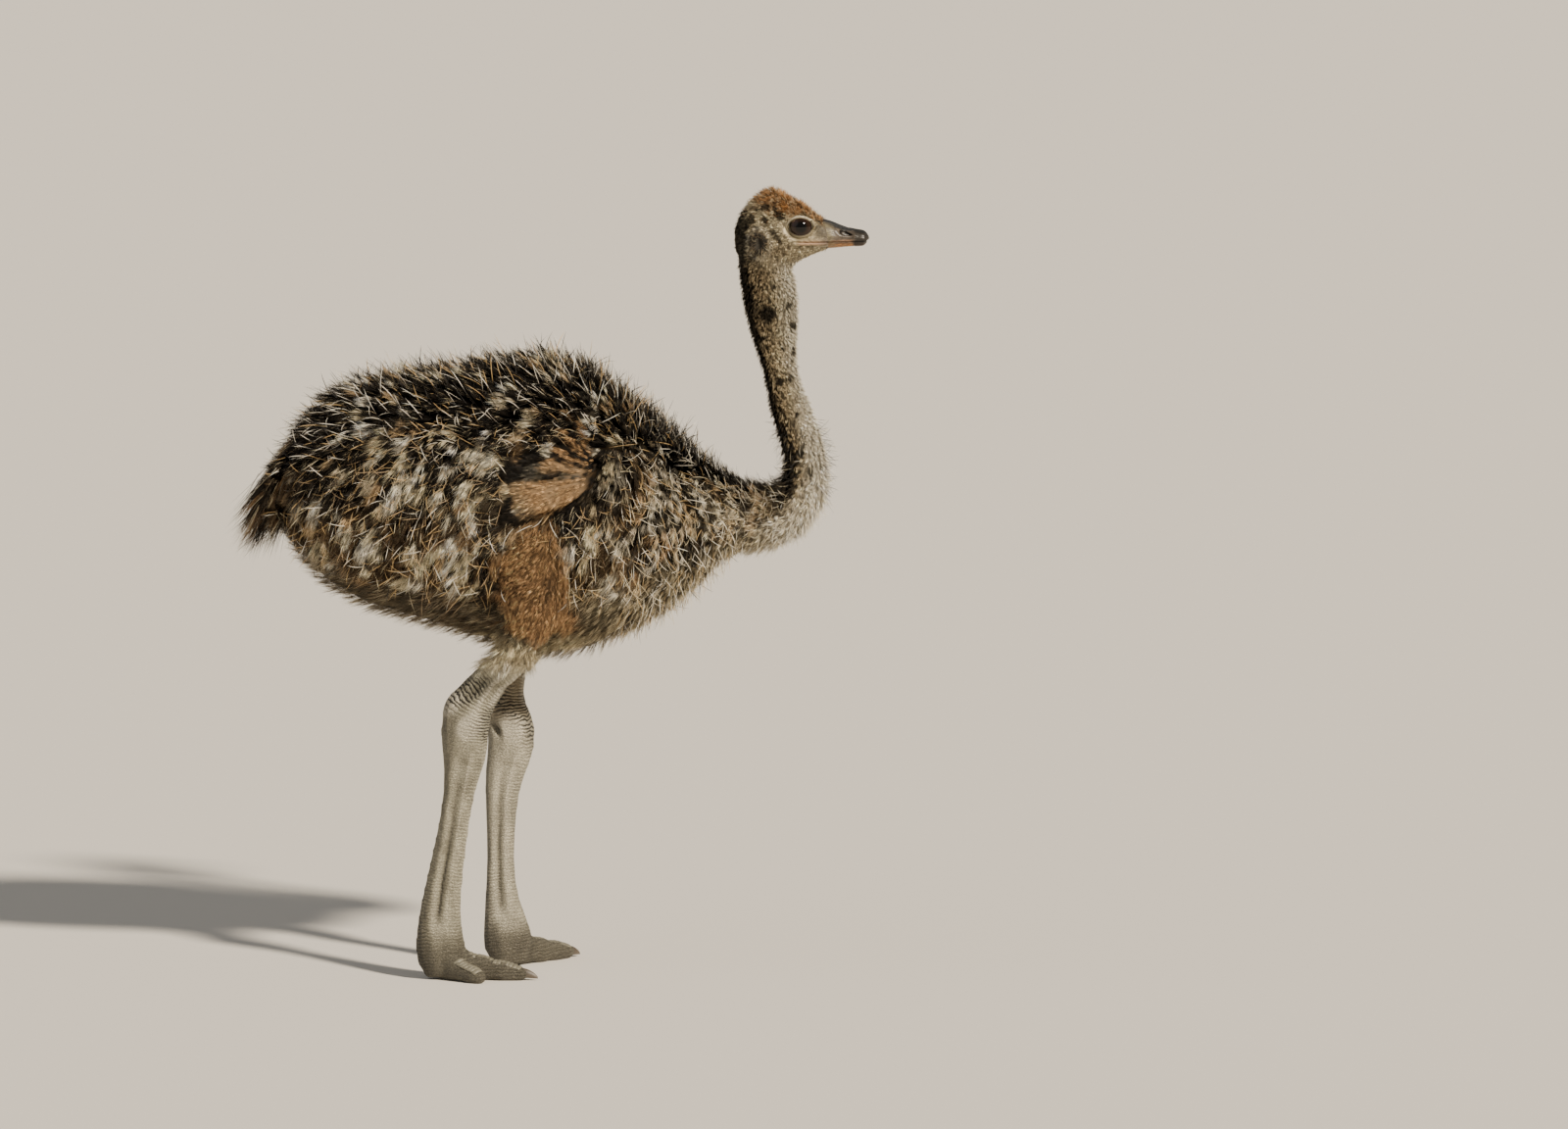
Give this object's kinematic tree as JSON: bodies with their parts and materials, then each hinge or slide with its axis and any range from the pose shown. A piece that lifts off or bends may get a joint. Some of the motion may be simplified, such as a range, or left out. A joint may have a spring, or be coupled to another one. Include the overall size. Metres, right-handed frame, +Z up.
{
  "type": "ostrich chick",
  "caption": "Standing ostrich chick, a still life-size model: egg-shaped downy body, S-bent neck, small head with flat bill, bare scaled legs and two-toed feet.",
  "frame": {"origin": "on the floor, under the middle of the bird's overall box", "axes": "+Z up out of the floor, +X the way the bird faces, +Y its left side"},
  "size_m": [0.5548, 0.2354, 0.6984],
  "materials": {
    "body_down": "loose down and quills, matt",
    "tail_down": "soft dark feathers, matt",
    "neck_down": "short speckled down, matt",
    "head_down": "short rufous down, matt",
    "ear_down": "stiff short ear feathers, matt",
    "wing_down": "buff down with soft quills, matt",
    "thigh_down": "short rufous down, matt",
    "leg_skin": "bare scaled skin, dry",
    "bill_horn": "bill horn, satin",
    "nail": "nail horn, satin",
    "eye": "wet eye, mirror-smooth"
  },
  "bodies": {
    "root": {"wing_left": "wing_down", "thigh_left": "thigh_down", "shank_left": "leg_skin", "hock_left": "leg_skin", "tarsus_left": "leg_skin", "foot_left": "leg_skin", "toe_main_left": "leg_skin", "toe_outer_left": "leg_skin", "nail_left": "nail", "eye_left": "eye", "ear_left": "ear_down", "wing_right": "wing_down", "thigh_right": "thigh_down", "shank_right": "leg_skin", "hock_right": "leg_skin", "tarsus_right": "leg_skin", "foot_right": "leg_skin", "toe_main_right": "leg_skin", "toe_outer_right": "leg_skin", "nail_right": "nail", "eye_right": "eye", "ear_right": "ear_down", "trunk": "body_down", "tail": "tail_down", "neck_lower": "neck_down", "neck_upper": "neck_down", "head": "head_down", "bill_upper": "bill_horn", "bill_lower": "bill_horn"}
  },
  "joints": []
}
